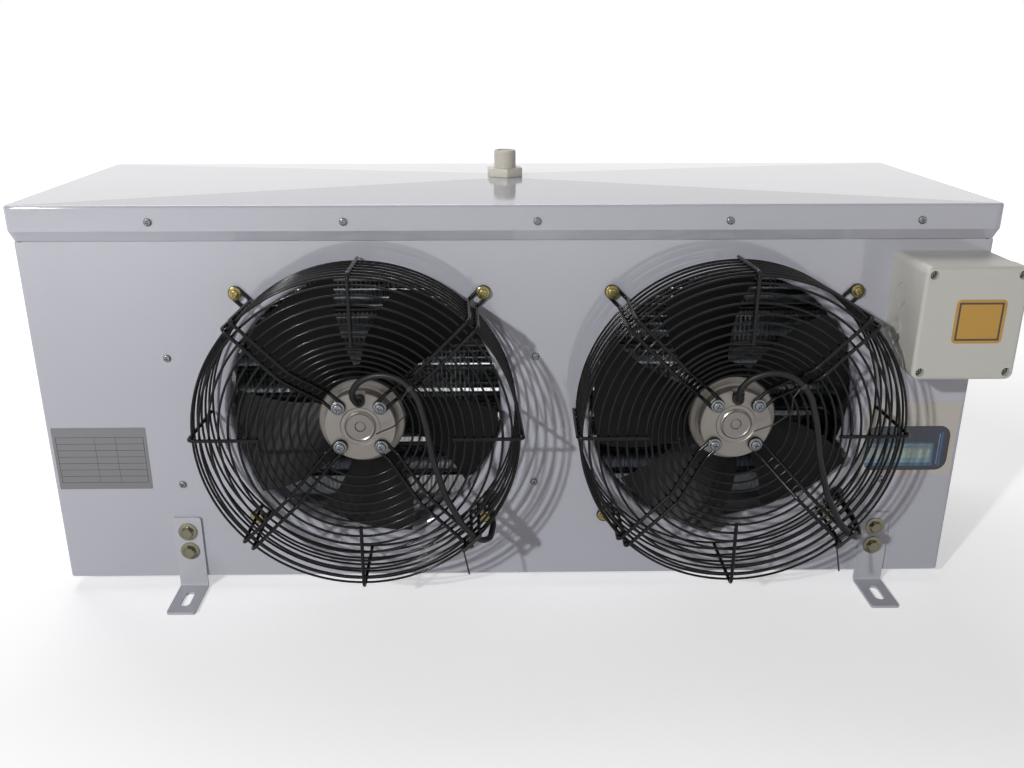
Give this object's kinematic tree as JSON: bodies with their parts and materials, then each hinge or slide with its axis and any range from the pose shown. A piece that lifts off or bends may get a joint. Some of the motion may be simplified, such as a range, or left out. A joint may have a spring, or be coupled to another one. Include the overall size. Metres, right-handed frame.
{
  "type": "walk-in unit cooler",
  "caption": "Ceiling-hung cold-room air cooler: finned coil in a sheet casing, propeller fans in wire guards, drip tray with drain, wiring box and slotted hanger brackets.",
  "frame": {"origin": "bottom centre of the whole unit's box, on the plane that the four bracket feet lie on; the unit stands turned over, as it is shipped, so this plane is the ceiling when it hangs", "axes": "+X along the casing towards the wiring box, +Y from the fans through the coil to the air inlet, +Z from the bracket feet to the drip tray and drain, which points down when the unit hangs"},
  "size_m": [1.058, 0.5316, 0.495],
  "materials": {
    "white_enamel": "semi-gloss powder coat on aluminium sheet",
    "galvanised_sheet": "galvanised sheet",
    "fin_aluminium": "mill-finish aluminium fins",
    "copper": "drawn copper tube",
    "brass": "turned brass",
    "heater_steel": "sheathed heater element",
    "drain_plastic": "moulded off-white plastic",
    "rubber": "moulded rubber",
    "box_plastic": "moulded light grey plastic",
    "zinc_steel": "bright zinc plate",
    "yellow_zinc": "yellow zinc plate",
    "nipple_plastic": "black nylon",
    "terminal_plastic": "moulded terminal strip",
    "nylon": "natural nylon",
    "bracket_steel": "galvanised steel strip",
    "guard_enamel": "black gloss coat on steel wire",
    "cast_aluminium": "die-cast aluminium",
    "winding": "varnished copper winding on steel laminations",
    "cap_steel": "pressed steel",
    "bearing_steel": "shielded ball bearings",
    "rotor_enamel": "black enamel on steel",
    "fan_enamel": "black enamel on pressed steel",
    "cable_jacket": "black round cable jacket"
  },
  "bodies": {
    "casing": {"box_base": "box_plastic", "box_fixing_screws": "zinc_steel", "box_gasket": "rubber", "box_lid": "box_plastic", "box_nipple": "nipple_plastic", "box_screws": "zinc_steel", "cable_ties": "nylon", "ceiling_panel": "white_enamel", "ceiling_screws": "zinc_steel", "coil_heaters": "heater_steel", "coil_tubes": "copper", "distributor_leads": "copper", "drain_fitting": "drain_plastic", "drain_nut": "drain_plastic", "drain_seal": "rubber", "drip_tray": "white_enamel", "fin_pack": "fin_aluminium", "front_panel": "white_enamel", "hanger_bolts": "yellow_zinc", "hanger_nuts": "yellow_zinc", "left_bearings": "bearing_steel", "left_coil_plate": "galvanised_sheet", "left_end_cover": "white_enamel", "left_fan_guard": "guard_enamel", "left_front_hanger": "bracket_steel", "left_guard_screws": "yellow_zinc", "left_motor_cable": "cable_jacket", "left_motor_cap": "cap_steel", "left_motor_grommet": "rubber", "left_motor_screws": "zinc_steel", "left_rear_hanger": "bracket_steel", "left_stator_base": "cast_aluminium", "left_stator_core": "winding", "liquid_distributor": "brass", "middle_coil_plate": "galvanised_sheet", "panel_grommets": "rubber", "panel_screws": "zinc_steel", "pipe_grommets": "rubber", "right_bearings": "bearing_steel", "right_coil_plate": "galvanised_sheet", "right_end_cover": "white_enamel", "right_fan_guard": "guard_enamel", "right_front_hanger": "bracket_steel", "right_guard_screws": "yellow_zinc", "right_motor_cable": "cable_jacket", "right_motor_cap": "cap_steel", "right_motor_grommet": "rubber", "right_motor_screws": "zinc_steel", "right_rear_hanger": "bracket_steel", "right_stator_base": "cast_aluminium", "right_stator_core": "winding", "suction_header": "copper", "terminal_block": "terminal_plastic", "tray_heater": "heater_steel", "tray_screws": "zinc_steel"},
    "left_fan": {"left_rotor": "rotor_enamel", "left_impeller": "fan_enamel"},
    "right_fan": {"right_rotor": "rotor_enamel", "right_impeller": "fan_enamel"}
  },
  "joints": [
    {"name": "left_fan_spin", "type": "hinge", "parent": "casing", "child": "left_fan", "pos_m": [-0.161, -0.1582, 0.227], "axis": [0, 1, 0], "continuous": true},
    {"name": "right_fan_spin", "type": "hinge", "parent": "casing", "child": "right_fan", "pos_m": [0.248, -0.1582, 0.227], "axis": [0, 1, 0], "continuous": true}
  ]
}
